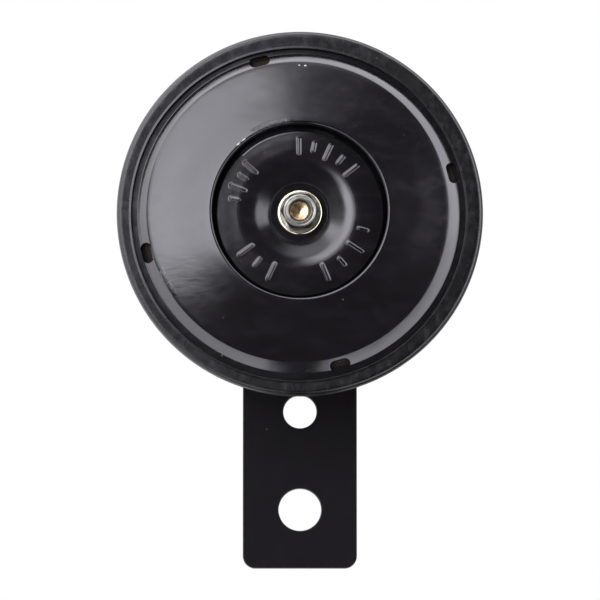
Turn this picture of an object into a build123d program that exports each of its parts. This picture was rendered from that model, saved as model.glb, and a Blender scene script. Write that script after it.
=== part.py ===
from build123d import *
import math
import os

# Disc horn for a vehicle. All sizes in millimetres, +Z up.
# Origin: centre of the larger bracket hole on the bracket's rear (mounting) face.
# The horn faces -Y; its axis is parallel to Y, AXIS_Z above the origin.
# "a" is the distance rearward from the front plane of the rolled rim.

# ---- driving dimensions -------------------------------------------------
AXIS_Z = 54.75          # horn axis above the larger bracket hole
LIP_Y = -27.0           # front plane of the rolled rim

RIM_R = 35.0            # outside of the rolled rim
LIP_R = 32.2            # inner edge of the rolled lip
SHEET = 0.8             # sheet of housing and front plate
RIM_DEPTH = 3.8         # lip front to flange rear
CHAMBER_R = 29.0        # outside of the wide part of the housing
CHAMBER_A = 9.8         # rear of the shoulder
POT_R = 24.5            # outside of the coil pot
POT_A = 21.0            # rear of the pot floor
BOSS_R = 9.0            # raised seat for the bracket
BOSS_A = 25.0
STUD_R = 3.0            # M6 rear stud
STACK_R = 33.8          # outside of the sheets clamped in the rim

HOLE_R = 2.15           # M4 clearance in plate and diaphragm
PIT_A = 0.0             # floor of the pit the nut stands in
# corners of the plate's front face as (radius, a), and the radius that rounds each
PLATE_CORNERS = (
    (HOLE_R, PIT_A),
    (5.35, PIT_A),      # pit floor to pit wall
    (5.6, -0.8),        # pit wall to funnel
    (9.84, -2.65),      # funnel to domed ring
    (13.02, -2.65),     # middle of the domed ring
    (15.3, -2.37),      # the ring falls away to the recess wall
    (15.95, -2.11),
    (16.8, -1.45),      # foot of the recess wall
    (16.72, -4.527),    # recess wall to cone
    (28.75, -0.54),     # cone to sloping wall
    (30.6, 0.8),        # sloping wall to flange
    (33.8, 0.8),
)
PLATE_BENDS = (0.35, 0.6, 9.2, 8.0, 2.5, 2.0, 0.25, 1.05, 1.2, 0.9)
FLANGE_A = 0.8          # front of the flange, against the back of the lip
RECESS_A = -2.65
SLOT_PITCH_R = 30.15    # four slots through the sloping wall
SLOT_LONG, SLOT_WIDE = 4.0, 2.0
SLOT_ANGLE = 14.8
MARK_TALL, MARK_WIDE, MARK_HIGH = 3.6, 0.55, 0.28
MARK_R = 12.6           # middle of the ring of raised scale marks

GASKET = 0.5
DIA_SHEET = 0.4
DIA_A = 2.1             # front of the diaphragm's clamped edge
DIA_DISH = 0.9          # how much deeper its centre lies
DIA_CENTRE_R, DIA_CONE_R = 9.0, 27.0

WASHER_R, WASHER_T = 4.3, 0.8
NUT_AF, NUT_T = 7.0, 3.2
FRONT_NUT_AF = 6.5             # the front nut is the small-hexagon kind
SLEEVE_R = 4.0
M4_R = 2.0
FIT = 0.02              # radial gap left between plain thread envelopes
HUB_R, COLLAR_R, PLUNGER_R = 5.0, 9.0, 6.0
COLLAR_A, COLLAR_REAR_A, PLUNGER_A = 5.5, 7.1, 11.6
CORE_R, CORE_A = 6.5, 12.3
YOKE_A, YOKE_T, YOKE_R, YOKE_BORE = 8.0, 1.0, 27.5, 6.8
BOBBIN_R, BOBBIN_BORE, BOBBIN_WALL = 14.0, 6.6, 1.0
WINDING_R = 13.3

BREAKER_Z = -12.5       # contact strips lie this far below the horn axis
RIVET_X = (-17.5, -12.5)
CONTACT_X, CONTACT_R = 10.0, 1.5
ADJUST_X = 15.0
TERMINAL_X, TERMINAL_Z = 5.5, 17.5
BLADE_W, BLADE_T, BLADE_TIP_A = 6.3, 0.8, 33.0

BRACKET_W, BRACKET_T = 22.0, 2.0
BRACKET_TOP, BRACKET_BOTTOM = AXIS_Z + 11.0, -11.3
BRACKET_CORNER = 2.4
BIG_HOLE_R, SMALL_HOLE_R = 4.1, 3.2
SMALL_HOLE_Z = 18.95
M6_NUT_AF, M6_NUT_T = 10.0, 5.0
STUD_END_A = 35.2

HORN_AXIS = Axis((0, 0, AXIS_Z), (0, 1, 0))


def section():
    """Half-section plane of turned pieces: x is the radius, y the row's Y."""
    return Plane.XY.offset(AXIS_Z)


def facing(a):
    """Plane square to the horn axis, seen from the front, centred on the axis."""
    return Plane(origin=(0, LIP_Y + a, AXIS_Z), x_dir=(1, 0, 0), z_dir=(0, -1, 0))


def pt(r, a):
    return (r, LIP_Y + a)


os.makedirs("parts", exist_ok=True)

# ---- housing: drawn pot with its rim rolled over the clamped sheets -----
half = SHEET / 2
with BuildPart() as housing:
    with BuildSketch(section()):
        with BuildLine() as housing_line:
            FilletPolyline(
                pt(LIP_R, half),
                pt(RIM_R - half, half),
                pt(RIM_R - half, RIM_DEPTH - half),
                pt(CHAMBER_R - half, RIM_DEPTH - half),
                pt(CHAMBER_R - half, CHAMBER_A - half),
                pt(POT_R - half, CHAMBER_A - half),
                pt(POT_R - half, POT_A - half),
                pt(BOSS_R - half, POT_A - half),
                pt(BOSS_R - half, BOSS_A - half),
                pt(STUD_R + FIT, BOSS_A - half),
                radius=[0.8, 0.8, 1.2, 1.0, 1.2, 1.6, 1.2, 1.0],
            )
        trace(housing_line.line, line_width=SHEET)
    revolve(axis=HORN_AXIS)
    # window for the terminal rivets
    with BuildSketch(facing(POT_A + 1)):
        with Locations((0, TERMINAL_Z)):
            RectangleRounded(17.0, 4.4, 1.0)
    extrude(amount=3, mode=Mode.SUBTRACT)
    # hole for the adjusting screw
    with BuildSketch(facing(POT_A + 1)):
        with Locations((ADJUST_X, BREAKER_Z)):
            Circle(M4_R + FIT)
    extrude(amount=3, mode=Mode.SUBTRACT)
housing.part.label = "housing"
export_step(housing.part, "parts/housing.step")

# ---- front plate: one pressing ------------------------------------------


def sheet_line(corners, bends, depth):
    """Corners and radii of a line that runs depth behind a sheet's front face."""
    moved, radii = [], []
    for i, (r, a) in enumerate(corners):
        before = corners[max(i - 1, 0)]
        after = corners[min(i + 1, len(corners) - 1)]
        u = (r - before[0], a - before[1]) if i else (after[0] - r, after[1] - a)
        v = (after[0] - r, after[1] - a) if i < len(corners) - 1 else u
        u = (u[0] / math.hypot(*u), u[1] / math.hypot(*u))
        v = (v[0] / math.hypot(*v), v[1] / math.hypot(*v))
        n = (-u[1] - v[1], u[0] + v[0])          # points rearward
        scale = depth * 2 / (n[0] ** 2 + n[1] ** 2)
        moved.append(pt(r + n[0] * scale, a + n[1] * scale))
        if 0 < i < len(corners) - 1:
            turn = u[0] * v[1] - u[1] * v[0]     # above 0 where the face is convex
            radii.append(bends[i - 1] + (-depth if turn > 0 else depth))
    return moved, radii


plate_points, plate_radii = sheet_line(PLATE_CORNERS, PLATE_BENDS, half)
with BuildPart() as front_plate:
    with BuildSketch(section()):
        with BuildLine() as plate_line:
            FilletPolyline(*plate_points, radius=plate_radii)
        trace(plate_line.line, line_width=SHEET)
    revolve(axis=HORN_AXIS)
    # four slots through the sloping wall
    with BuildSketch(facing(4)):
        with PolarLocations(SLOT_PITCH_R, 4, start_angle=SLOT_ANGLE):
            SlotOverall(SLOT_LONG, SLOT_WIDE, rotation=90)
    extrude(amount=8, mode=Mode.SUBTRACT)
    # raised scale marks in the recess: four groups of plain bars
    for first, count, pitch in ((38.5, 5, 13.0), (138.0, 4, 10.5), (216.0, 3, 14.5), (293.0, 4, 17.0)):
        with BuildSketch(facing(RECESS_A + 0.45)):
            for n in range(count):
                with PolarLocations(MARK_R, 1, start_angle=first + n * pitch):
                    SlotOverall(MARK_TALL if n % 2 == 0 else 0.6 * MARK_TALL, MARK_WIDE)
        extrude(amount=MARK_HIGH + 0.35)
front_plate.part.label = "front_plate"
export_step(front_plate.part, "parts/front_plate.step")

# ---- gaskets and diaphragm ------------------------------------------------
with BuildPart() as front_gasket:
    with BuildSketch(facing(FLANGE_A + SHEET)):
        Circle(STACK_R)
        Circle(CHAMBER_R + 0.4, mode=Mode.SUBTRACT)
    extrude(amount=-GASKET)
front_gasket.part.label = "front_gasket"
export_step(front_gasket.part, "parts/front_gasket.step")

with BuildPart() as diaphragm:
    with BuildSketch(section()):
        with BuildLine() as diaphragm_line:
            FilletPolyline(
                pt(HOLE_R, DIA_A + DIA_DISH + DIA_SHEET / 2),
                pt(DIA_CENTRE_R, DIA_A + DIA_DISH + DIA_SHEET / 2),
                pt(DIA_CONE_R, DIA_A + DIA_SHEET / 2),
                pt(STACK_R, DIA_A + DIA_SHEET / 2),
                radius=[6.0, 6.0],
            )
        trace(diaphragm_line.line, line_width=DIA_SHEET)
    revolve(axis=HORN_AXIS)
diaphragm.part.label = "diaphragm"
export_step(diaphragm.part, "parts/diaphragm.step")

with BuildPart() as rear_gasket:
    with BuildSketch(facing(DIA_A + DIA_SHEET)):
        Circle(STACK_R)
        Circle(CHAMBER_R + 0.4, mode=Mode.SUBTRACT)
    extrude(amount=-GASKET)
rear_gasket.part.label = "rear_gasket"
export_step(rear_gasket.part, "parts/rear_gasket.step")

# ---- armature and what is clamped on its thread ---------------------------
BACK_T = 0.6
dia_rear = DIA_A + DIA_DISH + DIA_SHEET
nut_rear = PIT_A - WASHER_T
stud_end = nut_rear - NUT_T + 0.6      # ends a little below the nut's face
with BuildPart() as armature:
    with BuildSketch(section()):
        with BuildLine():
            Polyline(
                pt(0, stud_end),
                pt(M4_R - 0.45, stud_end),
                pt(M4_R, stud_end + 0.45),
                pt(M4_R, dia_rear + BACK_T),
                pt(HUB_R, dia_rear + BACK_T),
                pt(HUB_R, COLLAR_A),
                pt(COLLAR_R - 0.3, COLLAR_A),
                pt(COLLAR_R, COLLAR_A + 0.3),
                pt(COLLAR_R, COLLAR_REAR_A - 0.3),
                pt(COLLAR_R - 0.3, COLLAR_REAR_A),
                pt(PLUNGER_R, COLLAR_REAR_A),
                pt(PLUNGER_R, PLUNGER_A - 0.4),
                pt(PLUNGER_R - 0.4, PLUNGER_A),
                pt(0, PLUNGER_A),
                close=True,
            )
        make_face()
    revolve(axis=HORN_AXIS)
    # screwdriver slot in the threaded end
    with BuildSketch(facing(stud_end)):
        Rectangle(0.7, 5.0)
    extrude(amount=-0.7, mode=Mode.SUBTRACT)
armature.part.label = "armature"
export_step(armature.part, "parts/armature.step")

with BuildPart() as backing_washer:
    with BuildSketch(facing(dia_rear)):
        Circle(8.0)
        Circle(M4_R + FIT, mode=Mode.SUBTRACT)
    extrude(amount=-BACK_T)
    fillet(backing_washer.edges().filter_by(GeomType.CIRCLE).group_by(SortBy.RADIUS)[-1], 0.15)
backing_washer.part.label = "backing_washer"
export_step(backing_washer.part, "parts/backing_washer.step")

with BuildPart() as spacer_sleeve:
    with BuildSketch(facing(PIT_A + SHEET)):
        Circle(SLEEVE_R)
        Circle(M4_R + FIT, mode=Mode.SUBTRACT)
    extrude(amount=-(DIA_A + DIA_DISH - PIT_A - SHEET))
spacer_sleeve.part.label = "spacer_sleeve"
export_step(spacer_sleeve.part, "parts/spacer_sleeve.step")

with BuildPart() as front_washer:
    with BuildSketch(facing(PIT_A)):
        Circle(WASHER_R)
        Circle(M4_R + 0.15, mode=Mode.SUBTRACT)
    extrude(amount=WASHER_T)
    fillet(front_washer.edges().filter_by(GeomType.CIRCLE).group_by(SortBy.RADIUS)[-1], 0.2)
front_washer.part.label = "front_washer"
export_step(front_washer.part, "parts/front_washer.step")


def nut_crown(across_flats, height, a_front):
    """Half-section of the cone that rounds a nut's corners, in the section plane."""
    r = across_flats / 2
    return [
        pt(0, a_front),
        pt(r - 0.2, a_front),
        pt(r * 1.2, a_front + (r * 1.2 - r + 0.2) * 0.5),
        pt(r * 1.2, a_front + height - (r * 1.2 - r + 0.2) * 0.5),
        pt(r - 0.2, a_front + height),
        pt(0, a_front + height),
    ]


with BuildPart() as front_nut:
    with BuildSketch(facing(nut_rear)):
        RegularPolygon(FRONT_NUT_AF / 2, 6, major_radius=False, rotation=30)
        Circle(M4_R + FIT, mode=Mode.SUBTRACT)
    extrude(amount=NUT_T)
    with BuildSketch(section()):
        with BuildLine():
            Polyline(*nut_crown(FRONT_NUT_AF, NUT_T, nut_rear - NUT_T), close=True)
        make_face()
    revolve(axis=HORN_AXIS, mode=Mode.INTERSECT)
    # countersink at the mouth of the thread
    with BuildSketch(section()):
        with BuildLine():
            Polyline(
                pt(0, nut_rear - NUT_T),
                pt(M4_R + 0.4, nut_rear - NUT_T),
                pt(M4_R + FIT, nut_rear - NUT_T + 0.4),
                pt(0, nut_rear - NUT_T + 0.4),
                close=True,
            )
        make_face()
    revolve(axis=HORN_AXIS, mode=Mode.SUBTRACT)
front_nut.part.label = "front_nut"
export_step(front_nut.part, "parts/front_nut.step")

# ---- coil, core and yoke ----------------------------------------------------
pot_floor = POT_A - SHEET
with BuildPart() as fixed_core:
    with BuildSketch(section()):
        with BuildLine():
            Polyline(
                pt(0, CORE_A),
                pt(CORE_R - 0.4, CORE_A),
                pt(CORE_R, CORE_A + 0.4),
                pt(CORE_R, BOSS_A - SHEET),
                pt(STUD_R, BOSS_A - SHEET),
                pt(STUD_R, STUD_END_A - 0.6),
                pt(STUD_R - 0.6, STUD_END_A),
                pt(0, STUD_END_A),
                close=True,
            )
        make_face()
    revolve(axis=HORN_AXIS)
fixed_core.part.label = "fixed_core"
export_step(fixed_core.part, "parts/fixed_core.step")

with BuildPart() as bobbin:
    with BuildSketch(section()):
        with BuildLine():
            Polyline(
                pt(BOBBIN_BORE, YOKE_A + YOKE_T),
                pt(BOBBIN_R, YOKE_A + YOKE_T),
                pt(BOBBIN_R, YOKE_A + YOKE_T + 1),
                pt(BOBBIN_BORE + BOBBIN_WALL, YOKE_A + YOKE_T + 1),
                pt(BOBBIN_BORE + BOBBIN_WALL, pot_floor - 1),
                pt(BOBBIN_R, pot_floor - 1),
                pt(BOBBIN_R, pot_floor),
                pt(BOBBIN_BORE, pot_floor),
                close=True,
            )
        make_face()
    revolve(axis=HORN_AXIS)
bobbin.part.label = "bobbin"
export_step(bobbin.part, "parts/bobbin.step")


def space(x, a, z):
    """A point in the row frame from its offsets to the horn axis."""
    return (x, LIP_Y + a, AXIS_Z + z)


LEAD_R = 0.35
with BuildPart() as coil_winding:
    with BuildSketch(section()):
        with BuildLine():
            Polyline(
                pt(BOBBIN_BORE + BOBBIN_WALL, YOKE_A + YOKE_T + 1),
                pt(WINDING_R, YOKE_A + YOKE_T + 1),
                pt(WINDING_R, pot_floor - 1),
                pt(BOBBIN_BORE + BOBBIN_WALL, pot_floor - 1),
                close=True,
            )
        make_face()
    revolve(axis=HORN_AXIS)
    # lead-out to the right terminal's rivet
    with BuildLine() as lead_a:
        FilletPolyline(
            space(TERMINAL_X, 14.0, 10.0),
            space(TERMINAL_X, 14.0, TERMINAL_Z),
            space(TERMINAL_X, 17.9, TERMINAL_Z),
            radius=1.5,
        )
    with BuildSketch(Plane(origin=lead_a.line @ 0, z_dir=lead_a.line % 0)):
        Circle(LEAD_R)
    sweep(path=lead_a.line)
    # lead-out to the contact leaf's edge
    with BuildLine() as lead_b:
        FilletPolyline(
            space(-11.0, 14.0, -4.5),
            space(-16.0, 14.0, -6.5),
            space(-16.0, 7.35, -6.5),
            space(-16.0, 7.35, -10.0),
            radius=1.0,
        )
    with BuildSketch(Plane(origin=lead_b.line @ 0, z_dir=lead_b.line % 0)):
        Circle(0.15)
    sweep(path=lead_b.line)
coil_winding.part.label = "coil_winding"
export_step(coil_winding.part, "parts/coil_winding.step")

with BuildPart() as yoke_plate:
    with BuildSketch(facing(YOKE_A)):
        Circle(YOKE_R)
        Circle(YOKE_BORE, mode=Mode.SUBTRACT)
        with Locations(*[(x, BREAKER_Z) for x in RIVET_X]):
            Circle(1.0, mode=Mode.SUBTRACT)
        with Locations((ADJUST_X, BREAKER_Z)):
            Circle(2.7, mode=Mode.SUBTRACT)
        with Locations((-21.6, -6.0)):
            Circle(1.4, mode=Mode.SUBTRACT)
        with Locations((-16.0, -6.5)):
            Circle(0.9, mode=Mode.SUBTRACT)
    extrude(amount=-YOKE_T)
yoke_plate.part.label = "yoke_plate"
export_step(yoke_plate.part, "parts/yoke_plate.step")

# ---- contact breaker ----------------------------------------------------------
# stack on the yoke plate, from its front face forward
LEAF_A, LEAF_T = 7.2, 0.3
STRIP_A, STRIP_T = 5.6, 0.8
MOUTH_R = 1.6           # hole in the live strips, round the insulating collars

with BuildPart() as base_insulator:
    with BuildSketch(facing(YOKE_A)):
        with Locations((-15.25, BREAKER_Z)):
            RectangleRounded(9.6, 6.0, 0.8)
        with Locations(*[(x, BREAKER_Z) for x in RIVET_X]):
            Circle(MOUTH_R, mode=Mode.SUBTRACT)
    extrude(amount=YOKE_A - LEAF_A - LEAF_T)
base_insulator.part.label = "base_insulator"
export_step(base_insulator.part, "parts/base_insulator.step")

with BuildPart() as contact_leaf:
    with BuildSketch(facing(LEAF_A + LEAF_T)):
        with BuildLine():
            Polyline(
                (-20.0, -15.0),
                (12.2, -15.0),
                (12.2, -10.0),
                (3.0, -10.0),
                (2.2, -6.8),
                (-2.2, -6.8),
                (-3.0, -10.0),
                (-20.0, -10.0),
                close=True,
            )
        make_face()
        with Locations(*[(x, BREAKER_Z) for x in RIVET_X]):
            Circle(MOUTH_R, mode=Mode.SUBTRACT)
        with Locations((CONTACT_X, BREAKER_Z)):
            Circle(0.8, mode=Mode.SUBTRACT)
    extrude(amount=LEAF_T)
contact_leaf.part.label = "contact_leaf"
export_step(contact_leaf.part, "parts/contact_leaf.step")

with BuildPart() as moving_contact:
    with BuildSketch(facing(LEAF_A)):
        with Locations((CONTACT_X, BREAKER_Z)):
            Circle(CONTACT_R)
    extrude(amount=0.4)
    with BuildSketch(facing(LEAF_A + LEAF_T)):
        with Locations((CONTACT_X, BREAKER_Z)):
            Circle(0.8)
    extrude(amount=LEAF_T)
    with BuildSketch(facing(LEAF_A + LEAF_T + 0.2)):
        with Locations((CONTACT_X, BREAKER_Z)):
            Circle(1.1)
    extrude(amount=0.2)
moving_contact.part.label = "moving_contact"
export_step(moving_contact.part, "parts/moving_contact.step")

with BuildPart() as middle_insulator:
    with BuildSketch(facing(LEAF_A)):
        with Locations((-15.25, BREAKER_Z)):
            RectangleRounded(9.6, 6.0, 0.8)
    extrude(amount=LEAF_A - STRIP_A - STRIP_T)
    # collars that line the holes of the live strips
    with BuildSketch(facing(YOKE_A)):
        with Locations(*[(x, BREAKER_Z) for x in RIVET_X]):
            Circle(MOUTH_R)
    extrude(amount=YOKE_A - STRIP_A)
    with BuildSketch(facing(YOKE_A)):
        with Locations(*[(x, BREAKER_Z) for x in RIVET_X]):
            Circle(1.0)
    extrude(amount=YOKE_A - STRIP_A, mode=Mode.SUBTRACT)
middle_insulator.part.label = "middle_insulator"
export_step(middle_insulator.part, "parts/middle_insulator.step")

with BuildPart() as contact_strip:
    with BuildSketch(facing(STRIP_A + STRIP_T)):
        with BuildLine():
            Polyline(
                (-22.6, -15.0),
                (17.0, -15.0),
                (17.0, -10.2),
                (-22.6, -10.2),
                close=True,
            )
        make_face()
        with Locations(*[(x, BREAKER_Z) for x in RIVET_X]):
            Circle(MOUTH_R, mode=Mode.SUBTRACT)
        with Locations((CONTACT_X, BREAKER_Z)):
            Circle(0.8, mode=Mode.SUBTRACT)
    extrude(amount=STRIP_T)
contact_strip.part.label = "contact_strip"
export_step(contact_strip.part, "parts/contact_strip.step")

with BuildPart() as fixed_contact:
    with BuildSketch(facing(STRIP_A + STRIP_T + 0.4)):
        with Locations((CONTACT_X, BREAKER_Z)):
            Circle(CONTACT_R)
    extrude(amount=0.4)
    with BuildSketch(facing(STRIP_A + STRIP_T)):
        with Locations((CONTACT_X, BREAKER_Z)):
            Circle(0.8)
    extrude(amount=STRIP_T)
    with BuildSketch(facing(STRIP_A)):
        with Locations((CONTACT_X, BREAKER_Z)):
            Circle(1.1)
    extrude(amount=0.2)
fixed_contact.part.label = "fixed_contact"
export_step(fixed_contact.part, "parts/fixed_contact.step")

with BuildPart() as top_insulator:
    with BuildSketch(facing(STRIP_A)):
        with Locations((-15.25, BREAKER_Z)):
            RectangleRounded(9.6, 6.0, 0.8)
        with Locations(*[(x, BREAKER_Z) for x in RIVET_X]):
            Circle(1.0, mode=Mode.SUBTRACT)
    extrude(amount=0.4)
top_insulator.part.label = "top_insulator"
export_step(top_insulator.part, "parts/top_insulator.step")

with BuildPart() as breaker_rivets:
    with BuildSketch(facing(YOKE_A + YOKE_T)):
        with Locations(*[(x, BREAKER_Z) for x in RIVET_X]):
            Circle(1.0)
    extrude(amount=YOKE_A + YOKE_T - STRIP_A + 0.4)
    with BuildSketch(facing(STRIP_A - 0.4)):
        with Locations(*[(x, BREAKER_Z) for x in RIVET_X]):
            Circle(1.7)
    extrude(amount=0.5)
    with BuildSketch(facing(YOKE_A + YOKE_T + 0.5)):
        with Locations(*[(x, BREAKER_Z) for x in RIVET_X]):
            Circle(1.6)
    extrude(amount=0.5)
breaker_rivets.part.label = "breaker_rivets"
export_step(breaker_rivets.part, "parts/breaker_rivets.step")

# ---- adjuster --------------------------------------------------------------------
SCREW_END_A = 25.6
with BuildPart() as adjusting_screw:
    with BuildSketch(facing(SCREW_END_A)):
        with Locations((ADJUST_X, BREAKER_Z)):
            Circle(M4_R)
    extrude(amount=SCREW_END_A - STRIP_A - STRIP_T)
    chamfer(adjusting_screw.edges().filter_by(GeomType.CIRCLE), 0.4)
    with BuildSketch(facing(SCREW_END_A)):
        with Locations((ADJUST_X, BREAKER_Z)):
            Rectangle(5.0, 0.8, rotation=35)
    extrude(amount=1.0, mode=Mode.SUBTRACT)
adjusting_screw.part.label = "adjusting_screw"
export_step(adjusting_screw.part, "parts/adjusting_screw.step")

with BuildPart() as adjuster_locknut:
    with BuildSketch(facing(POT_A)):
        with Locations((ADJUST_X, BREAKER_Z)):
            RegularPolygon(NUT_AF / 2, 6, major_radius=False, rotation=10)
            Circle(M4_R + FIT, mode=Mode.SUBTRACT)
    extrude(amount=-2.4)
adjuster_locknut.part.label = "adjuster_locknut"
export_step(adjuster_locknut.part, "parts/adjuster_locknut.step")

with BuildPart() as adjuster_insert:
    with BuildSketch(facing(pot_floor)):
        with Locations((ADJUST_X, BREAKER_Z)):
            RectangleRounded(6.0, 6.0, 0.5, rotation=50.2)
            Circle(M4_R + FIT, mode=Mode.SUBTRACT)
    extrude(amount=2.5)
adjuster_insert.part.label = "adjuster_insert"
export_step(adjuster_insert.part, "parts/adjuster_insert.step")

# ---- terminals --------------------------------------------------------------------
BLOCK_T = 3.0
block_rear = POT_A + BLOCK_T
with BuildPart() as terminal_block:
    with BuildSketch(facing(POT_A)):
        with Locations((0, TERMINAL_Z)):
            RectangleRounded(21.0, 7.2, 1.6)
    extrude(amount=-BLOCK_T)
    # rib that keeps the two blades apart
    with BuildSketch(facing(block_rear)):
        with Locations((0, TERMINAL_Z)):
            RectangleRounded(1.6, 7.2, 0.4)
    extrude(amount=-3.5)
    with BuildSketch(facing(POT_A)):
        with Locations((-TERMINAL_X, TERMINAL_Z), (TERMINAL_X, TERMINAL_Z)):
            Circle(1.5)
    extrude(amount=-BLOCK_T, mode=Mode.SUBTRACT)
terminal_block.part.label = "terminal_block"
export_step(terminal_block.part, "parts/terminal_block.step")

with BuildPart() as inner_insulator:
    with BuildSketch(facing(pot_floor)):
        with Locations((0, TERMINAL_Z + 0.1)):
            RectangleRounded(19.0, 5.6, 1.6)
        with Locations((-TERMINAL_X, TERMINAL_Z), (TERMINAL_X, TERMINAL_Z)):
            Circle(1.5, mode=Mode.SUBTRACT)
    extrude(amount=1.4)
inner_insulator.part.label = "inner_insulator"
export_step(inner_insulator.part, "parts/inner_insulator.step")


def blade(x):
    """Folded terminal: a foot riveted to the block and a blade that points rearward."""
    with BuildPart() as terminal:
        with BuildSketch(facing(block_rear)):
            with Locations((x, TERMINAL_Z)):
                Rectangle(BLADE_W, 6.4)
                Circle(1.5, mode=Mode.SUBTRACT)
        extrude(amount=-BLADE_T)
        with BuildSketch(Plane(origin=(x, LIP_Y + block_rear, AXIS_Z + TERMINAL_Z + 3.2), x_dir=(1, 0, 0), z_dir=(0, 0, -1))):
            with BuildLine():
                Polyline(
                    (-BLADE_W / 2, 0),
                    (BLADE_W / 2, 0),
                    (BLADE_W / 2, -(BLADE_TIP_A - block_rear - 1.4)),
                    (BLADE_W / 2 - 1.1, -(BLADE_TIP_A - block_rear)),
                    (-BLADE_W / 2 + 1.1, -(BLADE_TIP_A - block_rear)),
                    (-BLADE_W / 2, -(BLADE_TIP_A - block_rear - 1.4)),
                    close=True,
                )
            make_face()
            with Locations((0, -(BLADE_TIP_A - block_rear) + 3.6)):
                Circle(0.85, mode=Mode.SUBTRACT)
        extrude(amount=BLADE_T)
        fillet(
            terminal.edges()
            .filter_by(Axis.X)
            .filter_by_position(Axis.Y, LIP_Y + block_rear - 0.01, LIP_Y + block_rear + 0.01)
            .sort_by(Axis.Z)[-1],
            0.7,
        )
    return terminal


left_terminal = blade(-TERMINAL_X)
left_terminal.part.label = "left_terminal"
export_step(left_terminal.part, "parts/left_terminal.step")

right_terminal = blade(TERMINAL_X)
right_terminal.part.label = "right_terminal"
export_step(right_terminal.part, "parts/right_terminal.step")

with BuildPart() as terminal_rivets:
    with BuildSketch(facing(block_rear + BLADE_T)):
        with Locations((-TERMINAL_X, TERMINAL_Z), (TERMINAL_X, TERMINAL_Z)):
            Circle(1.5)
    extrude(amount=block_rear + BLADE_T - (pot_floor - 1.4))
    with BuildSketch(facing(block_rear + BLADE_T + 0.6)):
        with Locations((-TERMINAL_X, TERMINAL_Z), (TERMINAL_X, TERMINAL_Z)):
            Circle(2.2)
    extrude(amount=0.6)
    with BuildSketch(facing(pot_floor - 1.4)):
        with Locations((-TERMINAL_X, TERMINAL_Z), (TERMINAL_X, TERMINAL_Z)):
            Circle(2.1)
    extrude(amount=0.9)
terminal_rivets.part.label = "terminal_rivets"
export_step(terminal_rivets.part, "parts/terminal_rivets.step")

WIRE_R = 0.7
with BuildPart() as terminal_lead:
    with BuildLine() as wire_path:
        FilletPolyline(
            space(-TERMINAL_X, pot_floor - 2.3, TERMINAL_Z),
            space(-TERMINAL_X, 14.5, TERMINAL_Z),
            space(-13.5, 14.3, 14.2),
            space(-20.2, 14.1, 4.5),
            space(-21.6, 14.0, -6.0),
            space(-21.6, 6.0, -6.0),
            space(-21.6, 6.0, -10.2),
            radius=[1.8, 4.0, 6.0, 2.4, 1.6],
        )
    with BuildSketch(Plane(origin=wire_path.line @ 0, z_dir=wire_path.line % 0)):
        Circle(WIRE_R)
    sweep(path=wire_path.line)
terminal_lead.part.label = "terminal_lead"
export_step(terminal_lead.part, "parts/terminal_lead.step")

# ---- bracket and its fastening ------------------------------------------------------
with BuildPart() as mounting_bracket:
    with BuildSketch(Plane.XZ):
        with BuildLine():
            Polyline(
                (-BRACKET_W / 2, BRACKET_BOTTOM),
                (BRACKET_W / 2, BRACKET_BOTTOM),
                (BRACKET_W / 2, BRACKET_TOP),
                (-BRACKET_W / 2, BRACKET_TOP),
                close=True,
            )
        bracket_face = make_face()
        fillet(bracket_face.vertices(), BRACKET_CORNER)
        Circle(BIG_HOLE_R, mode=Mode.SUBTRACT)
        with Locations((0, SMALL_HOLE_Z)):
            Circle(SMALL_HOLE_R, mode=Mode.SUBTRACT)
        with Locations((0, AXIS_Z)):
            Circle(STUD_R + 0.2, mode=Mode.SUBTRACT)
    extrude(amount=BRACKET_T)
mounting_bracket.part.label = "mounting_bracket"
export_step(mounting_bracket.part, "parts/mounting_bracket.step")

bracket_rear = BOSS_A + BRACKET_T
with BuildPart() as spring_washer:
    with BuildSketch(facing(bracket_rear)):
        Circle(5.6)
        Circle(STUD_R + 0.15, mode=Mode.SUBTRACT)
        with Locations((4.5, 0)):
            Rectangle(5.0, 0.9, rotation=12, mode=Mode.SUBTRACT)
    extrude(amount=-1.6)
spring_washer.part.label = "spring_washer"
export_step(spring_washer.part, "parts/spring_washer.step")

nut_front_a = bracket_rear + 1.6
with BuildPart() as bracket_nut:
    with BuildSketch(facing(nut_front_a)):
        RegularPolygon(M6_NUT_AF / 2, 6, major_radius=False, rotation=0)
        Circle(STUD_R + FIT, mode=Mode.SUBTRACT)
    extrude(amount=-M6_NUT_T)
    with BuildSketch(section()):
        with BuildLine():
            Polyline(*nut_crown(M6_NUT_AF, M6_NUT_T, nut_front_a), close=True)
        make_face()
    revolve(axis=HORN_AXIS, mode=Mode.INTERSECT)
bracket_nut.part.label = "bracket_nut"
export_step(bracket_nut.part, "parts/bracket_nut.step")
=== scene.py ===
"""Small disc horn on a flat bracket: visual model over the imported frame."""
import math

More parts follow.
